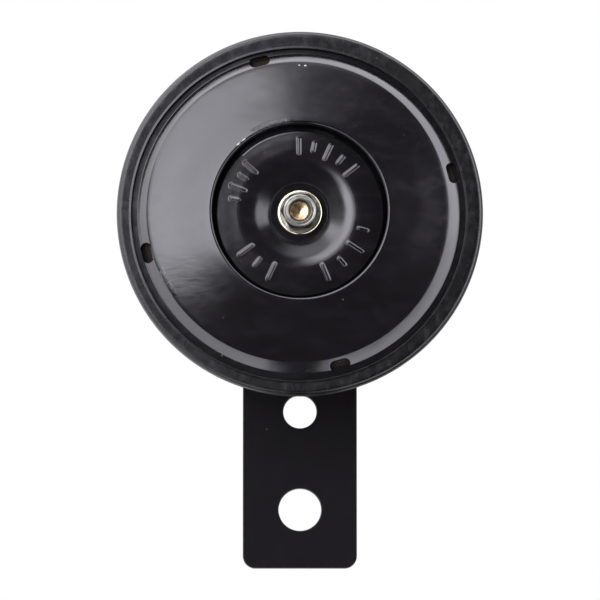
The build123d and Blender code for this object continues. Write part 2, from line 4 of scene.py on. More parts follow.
import bmesh
import bpy
import numpy as np
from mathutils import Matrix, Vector


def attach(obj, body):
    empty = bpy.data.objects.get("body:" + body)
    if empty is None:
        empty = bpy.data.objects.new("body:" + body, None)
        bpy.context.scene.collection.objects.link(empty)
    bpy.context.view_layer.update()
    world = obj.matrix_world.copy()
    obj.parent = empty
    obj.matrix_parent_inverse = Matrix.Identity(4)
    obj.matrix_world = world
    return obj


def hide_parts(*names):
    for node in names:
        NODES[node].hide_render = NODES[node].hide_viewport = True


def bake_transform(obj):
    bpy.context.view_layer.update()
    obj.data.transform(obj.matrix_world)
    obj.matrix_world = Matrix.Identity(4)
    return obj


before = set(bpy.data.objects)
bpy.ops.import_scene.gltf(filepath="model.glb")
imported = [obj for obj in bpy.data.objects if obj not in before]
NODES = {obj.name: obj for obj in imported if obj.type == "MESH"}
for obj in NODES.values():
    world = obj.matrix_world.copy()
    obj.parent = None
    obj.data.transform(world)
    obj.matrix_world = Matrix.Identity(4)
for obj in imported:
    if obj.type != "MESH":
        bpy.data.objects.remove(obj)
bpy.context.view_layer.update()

MM = 0.001
AXIS_Z = 54.75         # horn axis, in mm, as in the frame
LIP_Y = -27.0          # front plane of the rolled rim
SHEET = 0.8
HORN, MOVING = "horn_body", "armature_group"
TAU = 2 * math.pi


# ------------------------------------------------------------------ geometry helpers
def rounded(points, radii, turn_step=0.11, length_step=0.12):
    """Polyline of (r, a) in mm with its inner corners rounded by arcs."""
    out = [tuple(points[0])]
    for i in range(1, len(points) - 1):
        p0, p, p1 = (Vector(points[i + k]) for k in (-1, 0, 1))
        rad = radii[i - 1]
        u, v = (p0 - p).normalized(), (p1 - p).normalized()
        ang = math.acos(max(-1.0, min(1.0, u.dot(v))))
        if rad <= 0 or ang > math.pi - 1e-4:
            out.append(tuple(p))
            continue
        t = rad / math.tan(ang / 2)
        c = p + (u + v).normalized() * (rad / math.sin(ang / 2))
        s0, s1 = p + u * t - c, p + v * t - c
        turn = math.pi - ang
        n = max(2, math.ceil(turn / turn_step), math.ceil(rad * turn / (length_step * 4)))
        cross = s0.x * s1.y - s0.y * s1.x
        for k in range(n + 1):
            w = turn * k / n * (1 if cross > 0 else -1)
            out.append((c.x + s0.x * math.cos(w) - s0.y * math.sin(w), c.y + s0.x * math.sin(w) + s0.y * math.cos(w)))
    out.append(tuple(points[-1]))
    return out


def densify(points, step):
    """Adds points so that no run is longer than step."""
    out = [points[0]]
    for p, q in zip(points, points[1:]):
        n = max(1, math.ceil(math.dist(p, q) / step))
        for k in range(1, n + 1):
            out.append((p[0] + (q[0] - p[0]) * k / n, p[1] + (q[1] - p[1]) * k / n))
    return out


def offset(points, depth):
    """The line moved square to itself; above 0 is to its left."""
    out = []
    for i in range(len(points)):
        p0, p1 = points[max(i - 1, 0)], points[min(i + 1, len(points) - 1)]
        d = Vector((p1[0] - p0[0], p1[1] - p0[1])).normalized()
        out.append((points[i][0] - d.y * depth, points[i][1] + d.x * depth))
    return out


def ring(r, a, n, cx=0.0, cz=0.0):
    """n points at radius r, depth a (numbers or arrays), round an axis at (cx, cz) from the horn axis."""
    t = np.arange(n) * (TAU / n)
    r = np.broadcast_to(r, (n,))
    return np.stack([cx + r * np.cos(t), LIP_Y + np.broadcast_to(a, (n,)), AXIS_Z + cz + r * np.sin(t)], axis=1)


def strip(oa, na, ob, nb, faces):
    """Faces between two rings, where one may have twice the other's points."""
    if na == nb:
        faces.extend((oa + j, oa + (j + 1) % na, ob + (j + 1) % na, ob + j) for j in range(na))
    elif na == 2 * nb:
        for j in range(nb):
            k = (j + 1) % nb
            f0, f1, f2 = oa + 2 * j, oa + 2 * j + 1, oa + (2 * j + 2) % na
            faces.extend([(f0, f1, ob + j), (f1, ob + k, ob + j), (f1, f2, ob + k)])
    elif nb == 2 * na:
        for j in range(na):
            k = (j + 1) % na
            g0, g1, g2 = ob + 2 * j, ob + 2 * j + 1, ob + (2 * j + 2) % nb
            faces.extend([(oa + j, g1, g0), (oa + j, oa + k, g1), (oa + k, g2, g1)])
    elif na == 1:
        faces.extend((oa, ob + (j + 1) % nb, ob + j) for j in range(nb))
    elif nb == 1:
        faces.extend((oa + j, oa + (j + 1) % na, ob) for j in range(na))


def mesh_object(name, verts, faces, material, sharp=32.0):
    """A smooth-shaded mesh from points in mm; edges sharper than that many degrees stay hard."""
    me = bpy.data.meshes.new(name)
    me.from_pydata((np.asarray(verts, dtype=float) * MM).tolist(), [], [tuple(int(i) for i in f) for f in faces])
    me.validate()
    me.polygons.foreach_set("use_smooth", [True] * len(me.polygons))
    me.set_sharp_from_angle(angle=math.radians(sharp))
    me.materials.append(material)
    ob = bpy.data.objects.new(name, me)
    bpy.context.collection.objects.link(ob)
    return ob


def from_rings(rings, closed=True):
    """Points and faces of a closed shell through the rings, in order. Rings of one point are poles."""
    verts, faces, offs = [], [], []
    n = 0
    for p in rings:
        offs.append(n)
        verts.append(p)
        n += len(p)
    last = len(rings) if closed else len(rings) - 1
    for i in range(last):
        j = (i + 1) % len(rings)
        if len(rings[i]) == 1 and len(rings[j]) == 1:
            continue
        strip(offs[i], len(rings[i]), offs[j], len(rings[j]), faces)
    return np.concatenate(verts), faces


def area_sign(profile):
    s = sum(p[0] * q[1] - q[0] * p[1] for p, q in zip(profile, profile[1:] + profile[:1]))
    return 1 if s > 0 else -1


def lathe(name, profile, material, n=180, cx=0.0, cz=0.0, sharp=32.0):
    """Solid turned from a closed profile of (r, a)."""
    if area_sign(profile) > 0:
        profile = profile[::-1]
    rings = [ring(r, a, n, cx, cz) if r > 1e-6 else np.array([[cx, LIP_Y + a, AXIS_Z + cz]]) for r, a in profile]
    verts, faces = from_rings(rings)
    return mesh_object(name, verts, faces, material, sharp)


def smooth(lo, hi, x):
    t = np.clip((np.asarray(x, dtype=float) - lo) / (hi - lo), 0, 1)
    return t * t * (3 - 2 * t)


# ------------------------------------------------------------------ material helpers
class Graph:
    """Short names for building a node tree."""

    def __init__(self, tree):
        self.tree = tree
        self.n = tree.nodes
        self.l = tree.links

    def new(self, kind, **props):
        node = self.n.new(kind)
        for k, v in props.items():
            setattr(node, k, v)
        return node

    def put(self, socket, value):
        if isinstance(value, bpy.types.NodeSocket):
            self.l.new(value, socket)
        else:
            socket.default_value = value

    def math(self, op, a, b=0.0, c=0.0, clamp=False):
        node = self.new("ShaderNodeMath", operation=op, use_clamp=clamp)
        for s, v in zip(node.inputs, (a, b, c)):
            self.put(s, v)
        return node.outputs[0]

    def dot(self, vec, d):
        node = self.new("ShaderNodeVectorMath", operation="DOT_PRODUCT")
        self.put(node.inputs[0], vec)
        node.inputs[1].default_value = d
        return node.outputs["Value"]

    def window(self, x, lo, hi, to0=0.0, to1=1.0):
        """Smooth step of x from lo to hi."""
        node = self.new("ShaderNodeMapRange", interpolation_type="SMOOTHSTEP")
        self.put(node.inputs["Value"], x)
        node.inputs["From Min"].default_value = lo
        node.inputs["From Max"].default_value = hi
        node.inputs["To Min"].default_value = to0
        node.inputs["To Max"].default_value = to1
        return node.outputs["Result"]

    def mul(self, *values):
        out = values[0]
        for v in values[1:]:
            out = self.math("MULTIPLY", out, v)
        return out

    def noise(self, vec, scale, detail=2.0, rough=0.5, distort=0.0):
        node = self.new("ShaderNodeTexNoise")
        self.put(node.inputs["Vector"], vec)
        node.inputs["Scale"].default_value = scale
        node.inputs["Detail"].default_value = detail
        node.inputs["Roughness"].default_value = rough
        node.inputs["Distortion"].default_value = distort
        return node.outputs["Fac"]

    def voronoi(self, vec, scale, feature="F1", rand=1.0):
        node = self.new("ShaderNodeTexVoronoi", feature=feature)
        self.put(node.inputs["Vector"], vec)
        node.inputs["Scale"].default_value = scale
        node.inputs["Randomness"].default_value = rand
        return node

    def mix(self, fac, a, b):
        node = self.new("ShaderNodeMix", data_type="RGBA")
        self.put(node.inputs[0], fac)
        self.put(node.inputs[6], a)
        self.put(node.inputs[7], b)
        return node.outputs[2]

    def mapping(self, vec, scale=(1, 1, 1), rotation=(0, 0, 0), location=(0, 0, 0)):
        node = self.new("ShaderNodeMapping")
        self.put(node.inputs["Vector"], vec)
        node.inputs["Scale"].default_value = scale
        node.inputs["Rotation"].default_value = rotation
        node.inputs["Location"].default_value = location
        return node.outputs[0]

    def bump(self, height, strength, distance, normal=None):
        node = self.new("ShaderNodeBump")
        self.put(node.inputs["Height"], height)
        node.inputs["Strength"].default_value = strength
        node.inputs["Distance"].default_value = distance
        if normal is not None:
            self.l.new(normal, node.inputs["Normal"])
        return node.outputs[0]

    def distance_to(self, vec, point_mm):
        node = self.new("ShaderNodeVectorMath", operation="DISTANCE")
        self.put(node.inputs[0], vec)
        node.inputs[1].default_value = tuple(c * MM for c in point_mm)
        return node.outputs["Value"]


def material(name):
    m = bpy.data.materials.new(name)
    m.use_nodes = True
    g = Graph(m.node_tree)
    bsdf = g.n["Principled BSDF"]
    where = g.new("ShaderNodeTexCoord").outputs["Object"]
    return m, g, bsdf, where


def rgb(r, g, b):
    return (r, g, b, 1.0)


def patches(g, where, points, soft=0.35):
    """1 inside any of the small round or stretched spots (x, z, radius, stretch x, stretch z) in mm, seen from the front."""
    total = None
    for x, z, rad, sx, sz in points:
        v = g.mapping(where, scale=(sx, 0.0, sz))
        d = g.distance_to(v, (x * sx, 0.0, z * sz))
        w = g.window(d, rad * MM, rad * MM * (1 - soft))
        total = w if total is None else g.math("MAXIMUM", total, w)
    return total


def gloss_paint(name, worn=True, base=0.0034, rough=0.22, wave=1.0, shine=0.53):
    """Black enamel: wet-looking, slightly wavy, with dust nibs and, on the front, the chips it has."""
    m, g, b, where = material(name)
    fine = g.noise(where, 900, 1.0, 0.5)
    peel = g.noise(where, 330, 1.0, 0.4)
    sag = g.noise(where, 120, 1.5, 0.45)
    nib = g.voronoi(where, 420)
    nib_mask = g.math("MULTIPLY", g.window(nib.outputs["Distance"], 0.10, 0.03), g.window(g.noise(where, 160, 1.0), 0.60, 0.72))
    n = g.bump(sag, 1.0, 0.00009 * wave)
    n = g.bump(peel, 1.0, 0.000022 * wave, n)
    n = g.bump(fine, 1.0, 0.0000012, n)
    n = g.bump(nib_mask, 1.0, 0.00002, n)
    smear = g.window(g.noise(g.mapping(where, scale=(1.0, 1.0, 2.2), rotation=(0, 0.6, 0)), 190, 5.0, 0.62, 0.4), 0.42, 0.72)
    rough_out = g.math("ADD", rough - 0.03, g.math("MULTIPLY", smear, 0.04))
    colour = g.mix(smear, rgb(base, base * 0.88, base * 1.1), rgb(base * 1.5, base * 1.32, base * 1.65))
    if not worn:
        grime = g.window(g.noise(g.mapping(where, scale=(1.0, 1.0, 0.55)), 520, 6.0, 0.72), 0.46, 0.70)
        colour = g.mix(g.math("MULTIPLY", grime, 0.7), colour, rgb(0.0075, 0.0072, 0.0085))
        rough_out = g.math("ADD", rough_out, g.math("MULTIPLY", grime, 0.10))
        rub = g.math("MULTIPLY", g.window(g.noise(g.mapping(where, scale=(1.0, 1.0, 0.18), rotation=(0, 0.5, 0)), 1500, 4.0, 0.6), 0.64, 0.74), g.window(g.noise(where, 75, 2.0), 0.5, 0.62))
        colour = g.mix(g.math("MULTIPLY", rub, 0.5), colour, rgb(0.03, 0.03, 0.032))
        n = g.bump(g.noise(where, 640, 5.0, 0.62), 1.0, 0.00003, n)
    dust = g.math("MULTIPLY", g.window(g.voronoi(where, 700).outputs["Distance"], 0.16, 0.05), g.window(g.noise(where, 240, 2.0), 0.66, 0.74))
    colour = g.mix(g.math("MULTIPLY", dust, 0.35), colour, rgb(0.22, 0.22, 0.22))
    if worn:
        z0 = AXIS_Z
        ragged = g.math("SUBTRACT", g.noise(where, 2600, 3.0, 0.65), 0.5)
        flat = g.mapping(where, scale=(1, 0, 1), location=(0, 0, -z0 * MM))
        length = g.new("ShaderNodeVectorMath", operation="LENGTH")
        g.put(length.inputs[0], flat)
        rho = length.outputs["Value"]

        def arc(r_mm, wide, x, z, reach):
            """Soft band along the circle of that radius, near the point (x, z) from the axis."""
            off = g.math("ABSOLUTE", g.math("SUBTRACT", rho, r_mm * MM))
            band = g.window(off, wide * MM, wide * 0.35 * MM)
            return g.mul(band, g.window(g.distance_to(flat, (x, 0, z)), reach * MM, reach * 0.6 * MM))

        chip = patches(g, where, [(-0.10, z0 + 28.3, 0.30, 0.7, 1.4), (1.05, z0 + 28.25, 0.36, 0.7, 1.4)], 0.8)
        chip = g.math("MAXIMUM", chip, arc(17.3, 0.26, -11.3, 13.1, 1.5))
        chip = g.window(g.math("ADD", chip, g.math("MULTIPLY", ragged, 2.6)), 0.55, 0.95)
        colour = g.mix(g.math("MULTIPLY", chip, 0.8), colour, rgb(0.34, 0.34, 0.335))
        rough_out = g.math("ADD", rough_out, g.math("MULTIPLY", chip, 0.2))
        n = g.bump(chip, 1.0, -0.00003, n)
        # flaked edge of the recess near the top, and runs in the enamel at the lower left
        flaked = g.mul(arc(17.2, 0.9, -5.4, 16.4, 4.6), g.noise(where, 1500, 4.0, 0.65))
        n = g.bump(flaked, 1.0, 0.00014, n)
        near_run = g.window(g.distance_to(flat, (-21.5, 0, -12.0)), 8.0 * MM, 2.0 * MM)
        runs = g.noise(g.mapping(where, scale=(1.0, 1.0, 3.2), rotation=(0, -0.45, 0)), 190, 3.0, 0.5, 0.5)
        n = g.bump(g.mul(near_run, runs), 1.0, 0.000028, n)
        nick = g.mul(arc(28.7, 0.7, -25.0, -13.2, 3.2), g.noise(where, 1300, 3.0, 0.6))
        n = g.bump(nick, 1.0, 0.00010, n)
    edge_on = g.new("ShaderNodeLayerWeight")
    edge_on.inputs["Blend"].default_value = 0.5
    rough_out = g.math("ADD", rough_out, g.math("MULTIPLY", g.window(edge_on.outputs["Facing"], 0.60, 1.0), 0.35))
    g.put(b.inputs["Base Color"], colour)
    g.put(b.inputs["Roughness"], rough_out)
    g.put(b.inputs["Normal"], n)
    b.inputs["Specular IOR Level"].default_value = shine
    b.inputs["Specular Tint"].default_value = rgb(0.93, 0.915, 1.0)
    return m


def satin_paint(name, base=0.0036, rough=0.25):
    """Thinner black coat on the flat bracket, with a fine even texture and light handling marks."""
    m, g, b, where = material(name)
    fine = g.noise(where, 1500, 3.0, 0.6)
    roll = g.noise(where, 260, 2.0, 0.5)
    mottled = g.noise(where, 90, 4.0, 0.6)
    rub = g.window(g.noise(g.mapping(where, scale=(3.0, 3.0, 0.5), rotation=(0, 0.35, 0)), 330, 6.0, 0.7), 0.60, 0.78)
    n = g.bump(roll, 1.0, 0.00004)
    n = g.bump(fine, 1.0, 0.000012, n)
    colour = g.mix(mottled, rgb(base * 0.8, base * 0.7, base * 0.88), rgb(base * 1.25, base * 1.1, base * 1.38))
    dust = g.math("MULTIPLY", g.window(g.voronoi(where, 520).outputs["Distance"], 0.15, 0.05), g.window(g.noise(where, 200, 2.0), 0.66, 0.74))
    colour = g.mix(g.math("MULTIPLY", dust, 0.3), colour, rgb(0.2, 0.2, 0.2))
    g.put(b.inputs["Base Color"], colour)
    g.put(b.inputs["Roughness"], g.math("ADD", rough - 0.03, g.math("MULTIPLY", rub, 0.10)))
    g.put(b.inputs["Normal"], n)
    b.inputs["Specular IOR Level"].default_value = 0.30
    b.inputs["Specular Tint"].default_value = rgb(0.93, 0.905, 1.0)
    return m


def plated(name, light, dark, rough=0.24, tint_scale=900, lines=0.0):
    """Plated steel: bright metal with faint clouding and fine scuffs."""
    m, g, b, where = material(name)
    cloud = g.noise(where, tint_scale, 4.0, 0.6, 0.3)
    scuff = g.noise(g.mapping(where, scale=(1.0, 1.0, 5.0), rotation=(0, 0.9, 0)), 2600, 3.0, 0.6)
    colour = g.mix(g.window(cloud, 0.35, 0.68), rgb(*light), rgb(*dark))
    g.put(b.inputs["Base Color"], colour)
    b.inputs["Metallic"].default_value = 1.0
    g.put(b.inputs["Roughness"], g.math("ADD", rough - 0.05, g.math("MULTIPLY", scuff, 0.14)))
    n = g.bump(scuff, 1.0, 0.000006)
    n = g.bump(cloud, 1.0, 0.000012, n)
    g.put(b.inputs["Normal"], n)
    return m


def plain(name, light, dark, rough, scale=400, bump=0.00001, metallic=0.0, stretch=(1, 1, 1), detail=4.0, shine=0.5):
    """A body colour with mottling and matching roughness and relief."""
    m, g, b, where = material(name)
    f = g.noise(g.mapping(where, scale=stretch), scale, detail, 0.6)
    g.put(b.inputs["Base Color"], g.mix(g.window(f, 0.3, 0.7), rgb(*light), rgb(*dark)))
    g.put(b.inputs["Roughness"], g.math("ADD", rough - 0.06, g.math("MULTIPLY", f, 0.12)))
    b.inputs["Metallic"].default_value = metallic
    b.inputs["Specular IOR Level"].default_value = shine
    g.put(b.inputs["Normal"], g.bump(f, 1.0, bump))
    return m


def gasket_board(name):
    """Dark brown pressed board, with painted shadow: near black towards its outer edge, standing in for the shade
    inside the front slots.
    """
    m, g, b, where = material(name)
    part = g.new("ShaderNodeSeparateXYZ")
    g.put(part.inputs[0], where)
    across, up = part.outputs["X"], g.math("SUBTRACT", part.outputs["Z"], AXIS_Z * MM)
    radius = g.math("SQRT", g.math("ADD", g.math("MULTIPLY", across, across), g.math("MULTIPLY", up, up)))
    fibre = g.noise(where, 900, 4.0, 0.6)
    edge = g.math("ADD", radius, g.math("MULTIPLY", g.math("SUBTRACT", fibre, 0.5), 0.5 * MM))
    colour = g.mix(g.window(fibre, 0.3, 0.7), rgb(0.026, 0.018, 0.0145), rgb(0.014, 0.0095, 0.008))
    # painted shadow: beyond about 30 mm radius the board turns near black, where the slots' shade falls
    g.put(b.inputs["Base Color"], g.mix(g.window(edge, 29.9 * MM, 30.45 * MM), colour, rgb(0.0035, 0.003, 0.003)))
    g.put(b.inputs["Roughness"], g.math("ADD", 0.72, g.math("MULTIPLY", fibre, 0.12)))
    b.inputs["Specular IOR Level"].default_value = 0.12
    g.put(b.inputs["Normal"], g.bump(fibre, 1.0, 0.00004))
    return m


def winding_wire(name):
    """Enamelled copper laid in turns along the coil's axis."""
    m, g, b, where = material(name)
    wave = g.new("ShaderNodeTexWave", wave_type="BANDS", bands_direction="Y")
    g.put(wave.inputs["Vector"], where)
    wave.inputs["Scale"].default_value = 1000 / 0.36 / 6.2832 * 1.0
    wave.inputs["Distortion"].default_value = 0.15
    f = g.noise(where, 300, 2.0)
    g.put(b.inputs["Base Color"], g.mix(f, rgb(0.55, 0.16, 0.05), rgb(0.36, 0.09, 0.03)))
    b.inputs["Metallic"].default_value = 0.85
    g.put(b.inputs["Roughness"], g.math("ADD", 0.24, g.math("MULTIPLY", f, 0.1)))
    g.put(b.inputs["Normal"], g.bump(wave.outputs["Fac"], 1.0, 0.00008))
    return m


PAINT = gloss_paint("gloss_black_enamel", rough=0.19)
PAINT_SHELL = gloss_paint("gloss_black_enamel_shell", worn=False, base=0.0016, rough=0.30, shine=0.44)
SATIN = satin_paint("satin_black_coat")
ZINC = plated("zinc_plating", (0.64, 0.63, 0.61), (0.50, 0.49, 0.46))
NUT_ZINC = plated("zinc_plating_dull", (0.25, 0.247, 0.24), (0.17, 0.168, 0.163), rough=0.30)
ZINC_WARM = plated("zinc_plating_warm", (0.74, 0.70, 0.60), (0.56, 0.52, 0.42), rough=0.22)
YELLOW = plated("yellow_zinc_plating", (0.62, 0.47, 0.30), (0.26, 0.165, 0.09), rough=0.26, tint_scale=1300)
STEEL = plated("blued_spring_steel", (0.36, 0.37, 0.40), (0.27, 0.27, 0.30), rough=0.30)
CONTACT = plated("silver_contact", (0.78, 0.78, 0.77), (0.60, 0.59, 0.58), rough=0.30)
BRASS = plated("brass_strip", (0.66, 0.49, 0.21), (0.54, 0.39, 0.15), rough=0.30)
GASKET = gasket_board("pressed_gasket_board")
PHENOLIC = plain("phenolic_board", (0.17, 0.075, 0.030), (0.10, 0.045, 0.020), 0.45, 700, 0.00001, stretch=(1, 1, 4))
MOULDING = plain("black_moulding", (0.016, 0.016, 0.017), (0.010, 0.010, 0.011), 0.42, 1200, 0.00001)
NYLON = plain("natural_nylon", (0.62, 0.60, 0.53), (0.52, 0.50, 0.44), 0.42, 500, 0.00001)
SLEEVE = plain("wire_sleeve", (0.20, 0.012, 0.010), (0.14, 0.008, 0.008), 0.40, 600, 0.00001)
WINDING = winding_wire("enamelled_winding")

# ------------------------------------------------------------------ front plate
CORNERS = (
    (2.15, 0.0), (5.35, 0.0), (5.6, -0.8), (9.84, -2.65), (13.02, -2.65), (15.3, -2.37), (15.95, -2.11),
    (16.8, -1.45), (16.72, -4.527), (28.75, -0.54), (30.6, 0.8), (33.8, 0.8),
)
BENDS = (0.35, 0.6, 9.2, 8.0, 2.5, 2.0, 0.25, 1.05, 1.2, 0.9)
CRISP = (0.10, 0.15, 7.4, 0.0, 0.0, 0.45, 1.7, 0.30)    # as painted, on the face
SEAM_R = 10.6
MARKS = ((38.5, 5, 13.0), (138.0, 4, 10.5), (216.0, 3, 14.5), (293.0, 4, 17.0))
MARK_R, MARK_LONG, MARK_HALF, MARK_HIGH = 12.6, 3.6, 0.34, 0.24


def mark_height(r, n):
    """Raised plain bars in four groups, with softly pressed edges, at one radius."""
    t = np.arange(n) * (TAU / n)
    h = np.zeros(n)
    for first, count, pitch in MARKS:
        for k in range(count):
            c = math.radians(first + k * pitch)
            half = (MARK_LONG if k % 2 == 0 else 0.6 * MARK_LONG) / 2 - MARK_HALF
            along, across = r * np.cos(t - c) - MARK_R, r * np.sin(t - c)
            inward = np.cos(t - c) > 0
            d = np.hypot(np.maximum(np.abs(along) - half, 0), across)
            h = np.maximum(h, np.where(inward, MARK_HIGH * (1 - smooth(MARK_HALF - 0.32, MARK_HALF + 0.24, d)), 0))
    return h


face = CORNERS[:3] + ((10.1, -2.763), (15.80, -2.234), (16.78, -1.25), CORNERS[8], (28.88, -0.54), (30.74, 0.76), (32.4, 0.88), (33.8, 0.88))
front = rounded(face, CRISP + (1.0,), 0.09)
back = offset(rounded(CORNERS, BENDS, 0.09), SHEET)


def cut_at(profile, r):
    """The profile in two, split where it first reaches that radius."""
    for i in range(1, len(profile)):
        if profile[i][0] >= r:
            p, q = profile[i - 1], profile[i]
            f = (r - p[0]) / (q[0] - p[0])
            m = (r, p[1] + (q[1] - p[1]) * f)
            return profile[:i] + [m], [m] + profile[i:]


front_in, front_out = cut_at(front, SEAM_R)
back_in, back_out = cut_at(back, SEAM_R)



def off_floor(r, t):
    """The floor of the recess sits low of its wall: how far a radius moves at each angle."""
    w = float(smooth(13.4, 15.8, r)) if r < 15.8 else float(np.clip((16.78 - r) / 0.98, 0, 1))
    return -0.36 * w * np.cos(t - 1.75)


outer_rings = []
ahead = densify(front_out, 0.11)
turn_at = next(i for i, p in enumerate(ahead) if p[0] > 15.3)
for r, a in ahead[:turn_at]:
    t = np.arange(720) * (TAU / 720)
    outer_rings.append(ring(r + off_floor(r, t), a - mark_height(r, 720) * float(smooth(10.6, 10.8, r)), 720))
spaced, before, heading = [ahead[turn_at]], ahead[turn_at], None
for p in ahead[turn_at + 1:]:
    way = math.atan2(p[1] - before[1], p[0] - before[0])
    if heading is None or abs(way - heading) > 0.04:
        if before is not spaced[-1]:
            spaced.append(before)
        heading = way
    if math.dist(p, spaced[-1]) > 0.8 or p is ahead[-1]:
        spaced.append(p)
    before = p
for r, a in spaced:
    n = 720 if r < 17.5 else 360
    t = np.arange(n) * (TAU / n)
    low = np.exp(-((np.mod(t - 0.02 + math.pi, TAU) - math.pi) / 0.50) ** 2)      # the flange lifts a little at the right
    # pressed slightly off centre
    near_edge, past_wall = float(smooth(22.0, 28.5, r)), float(smooth(28.9, 30.5, r))
    shift = (-0.38 * near_edge + 0.16 * past_wall) * np.cos(t) + (0.14 * near_edge - 0.20 * past_wall) * np.sin(t)
    left = np.exp(-((np.mod(t - 2.75, TAU)  - TAU * (np.mod(t - 2.75, TAU) > math.pi)) / 0.75) ** 2)        # and dips a little at the left
    flange_a = a - low * 0.19 * float(np.clip(r - 30.95, 0, 0.95)) + left * 0.014 * float(np.clip(r - 30.85, 0, 1.1))
    outer_rings.append(ring(r + shift * (r < 33.0) + off_floor(r, t), flange_a, n))
for r, a in densify(back_out[::-1], 1.2):
    outer_rings.append(ring(r, a, 360))
verts, faces = from_rings(outer_rings[::-1])
outer = mesh_object("front_plate_body", verts, faces, PAINT)

# four slots through the sloping wall
cut_verts, cut_faces = [], []
for q in range(4):
    c = math.radians(14.8 + 90 * q)
    outline = []
    for side, sgn in ((0, 1), (1, -1)):
        for k in range(17):
            w = math.pi * k / 16 - math.pi / 2
            along = sgn * (1.0 + math.cos(w) * 1.0)
            across = sgn * math.sin(w) * 1.0
            outline.append((30.15 - across, along))
    base = len(cut_verts)
    m = len(outline)
    for a in (-6.0, 3.2):
        for rr, tt in outline:
            cut_verts.append((rr * math.cos(c) - tt * math.sin(c), LIP_Y + a, AXIS_Z + rr * math.sin(c) + tt * math.cos(c)))
    cut_faces.append([base + i for i in range(m)][::-1])
    cut_faces.append([base + m + i for i in range(m)])
    cut_faces.extend([base + i, base + (i + 1) % m, base + m + (i + 1) % m, base + m + i] for i in range(m))
cutter = mesh_object("slot_cutter", cut_verts, [f[::-1] for f in cut_faces], PAINT)
mod = outer.modifiers.new("slots", "BOOLEAN")
mod.operation, mod.object, mod.solver = "DIFFERENCE", cutter, "EXACT"
cut = bpy.data.meshes.new_from_object(outer.evaluated_get(bpy.context.evaluated_depsgraph_get()))
outer.modifiers.clear()
outer.data = cut
cut.polygons.foreach_set("use_smooth", [True] * len(cut.polygons))
cut.set_sharp_from_angle(angle=math.radians(32))
bpy.data.objects.remove(cutter)

inner_rings = [ring(r, a, 360) for r, a in densify(front_in, 0.25)] + [ring(r, a, 360) for r, a in densify(back_in[::-1], 0.6)]
verts, faces = from_rings(inner_rings[::-1])
centre = mesh_object("front_plate_centre", verts, faces, PAINT)
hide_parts("front_plate")
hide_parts("front_plate")
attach(outer, HORN)
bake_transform(centre)

# ------------------------------------------------------------------ housing with its rolled rim
half = SHEET / 2
line = rounded([
    (32.2, half), (34.6, half), (34.6, 3.4), (28.6, 3.4), (28.6, 9.4), (24.1, 9.4), (24.1, 20.6),
    (8.6, 20.6), (8.6, 24.6), (3.02, 24.6),
], (0.62, 0.8, 1.2, 1.0, 1.2, 1.6, 1.2, 1.0), 0.18)
line = densify(line, 1.4)
side_out, side_in = offset(line, -half), offset(line, half)
if side_out[3][1] > side_in[3][1]:
    side_out, side_in = side_in, side_out


shell = []
t = np.arange(720) * (TAU / 720)
wob = 0.045 * np.sin(3 * t + 0.6) + 0.035 * np.sin(7 * t + 2.1) + 0.02 * np.sin(17 * t + 1.0)
bead = rounded([(32.0, 0.75), (31.94, 0.22), (32.0, 0.0), (32.42, 0.15), (33.5, 0.17)], (0.3, 0.05, 0.14, 0.25), 0.13)
off = -0.28 * np.cos(t) - 0.28 * np.sin(t)                    # the bead is rolled slightly off centre
for r, a in bead:
    shell.append(ring(r + wob * 0.5 + off, a, 720))
for r, a in side_out:
    if r >= 33.6 or a > 1.0:
        k = float(smooth(34.7, 33.5, r)) if a < 1.0 else 0.0
        drop = (0.17 + 0.045 * (r - 33.5)) * float(smooth(2.8, 0.8, a)) if r > 33.0 and a < 3.0 else 0.0
        shell.append(ring(r + off * k if k else r, max(a, 0.0) + drop, 360 if a > 3.0 else 720))
for r, a in side_in[::-1]:
    if a > 0.79 or r > 32.6:
        shell.append(ring(r, a, 360))
verts, faces = from_rings(shell[::-1])
housing = mesh_object("housing_shell", verts, faces, PAINT_SHELL, 40)
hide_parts("housing")
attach(housing, HORN)

# ------------------------------------------------------------------ diaphragm
dia_line = rounded([(2.15, 3.2), (9.0, 3.2), (27.0, 2.3), (33.8, 2.3)], (8.0, 8.0), 0.03)
dia_line = densify(dia_line, 0.8)
loop = offset(dia_line, -0.2) + offset(dia_line, 0.2)[::-1]
diaphragm = lathe("diaphragm_disc", loop, STEEL, 240)
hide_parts("diaphragm")
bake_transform(diaphragm)

# ------------------------------------------------------------------ turned and threaded parts


def thread_wave(turns):
    """Thread form for phase in turns: 0 at the root, 1 at the crest, flats on both."""
    f = np.abs(((turns) % 1.0) * 2 - 1)
    return np.clip((f - 0.12) / 0.76, 0, 1)


